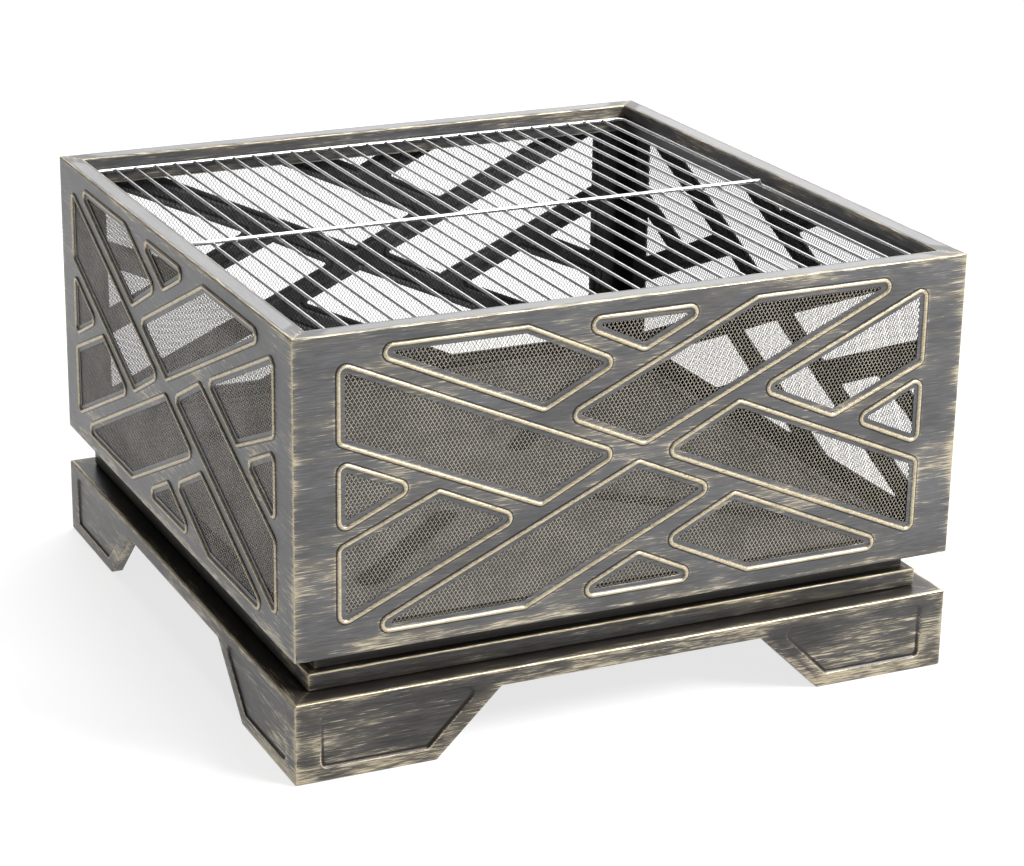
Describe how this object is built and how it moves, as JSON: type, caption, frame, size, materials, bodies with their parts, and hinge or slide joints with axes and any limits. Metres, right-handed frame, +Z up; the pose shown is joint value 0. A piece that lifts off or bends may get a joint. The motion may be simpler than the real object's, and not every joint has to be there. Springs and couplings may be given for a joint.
{
  "type": "fire pit with grate",
  "caption": "Square steel fire pit with cut-out walls backed by diamond mesh, a stepped base with bracket feet, a lift-out fire pan and a lift-out wire cooking grate.",
  "frame": {"origin": "on the ground under the middle of the pit, at the centre of the bottom of its box", "axes": "+Z up; the front wall faces -Y, and the grate's rods run along Y"},
  "size_m": [0.664, 0.664, 0.4095],
  "materials": {
    "antique_paint": "charcoal paint dry-brushed with pale gold, satin",
    "expanded_mesh": "expanded diamond mesh, dark paint rubbed with gold",
    "black_steel": "heat-resistant black, matt",
    "pan_steel": "heat-resistant dark grey, matt",
    "grate_chrome": "bright chrome-plated wire",
    "zinc_steel": "zinc-plated"
  },
  "bodies": {
    "root": {"wall_front": "antique_paint", "mesh_front": "expanded_mesh", "base_bolt_front": "zinc_steel", "base_nut_front": "zinc_steel", "base_skirt_front": "antique_paint", "wall_right": "antique_paint", "mesh_right": "expanded_mesh", "base_bolt_right": "zinc_steel", "base_nut_right": "zinc_steel", "base_skirt_right": "antique_paint", "wall_back": "antique_paint", "mesh_back": "expanded_mesh", "base_bolt_back": "zinc_steel", "base_nut_back": "zinc_steel", "base_skirt_back": "antique_paint", "wall_left": "antique_paint", "mesh_left": "expanded_mesh", "base_bolt_left": "zinc_steel", "base_nut_left": "zinc_steel", "base_skirt_left": "antique_paint", "corner_angle_front_right": "black_steel", "grate_rest_front_right": "black_steel", "corner_angle_back_right": "black_steel", "grate_rest_back_right": "black_steel", "corner_angle_back_left": "black_steel", "grate_rest_back_left": "black_steel", "corner_angle_front_left": "black_steel", "grate_rest_front_left": "black_steel", "base_plinth": "antique_paint"},
    "fire_pan": {"fire_pan": "pan_steel"},
    "cooking_grate": {"grate_frame": "grate_chrome", "grate_crossbar": "grate_chrome", "grate_rod_01": "grate_chrome", "grate_rod_02": "grate_chrome", "grate_rod_03": "grate_chrome", "grate_rod_04": "grate_chrome", "grate_rod_05": "grate_chrome", "grate_rod_06": "grate_chrome", "grate_rod_07": "grate_chrome", "grate_rod_08": "grate_chrome", "grate_rod_09": "grate_chrome", "grate_rod_10": "grate_chrome", "grate_rod_11": "grate_chrome", "grate_rod_12": "grate_chrome", "grate_rod_13": "grate_chrome", "grate_rod_14": "grate_chrome", "grate_rod_15": "grate_chrome", "grate_rod_16": "grate_chrome", "grate_rod_17": "grate_chrome", "grate_rod_18": "grate_chrome", "grate_rod_19": "grate_chrome", "grate_rod_20": "grate_chrome", "grate_rod_21": "grate_chrome", "grate_rod_22": "grate_chrome", "grate_rod_23": "grate_chrome", "grate_rod_24": "grate_chrome", "grate_rod_25": "grate_chrome", "grate_rod_26": "grate_chrome", "grate_rod_27": "grate_chrome"}
  },
  "joints": [
    {"name": "pan_lift", "type": "slide", "parent": "root", "child": "fire_pan", "axis": [0, 0, 1], "range_m": [0, 0.35]},
    {"name": "grate_lift", "type": "slide", "parent": "fire_pan", "child": "cooking_grate", "axis": [0, 0, 1], "range_m": [0, 0.15]}
  ]
}
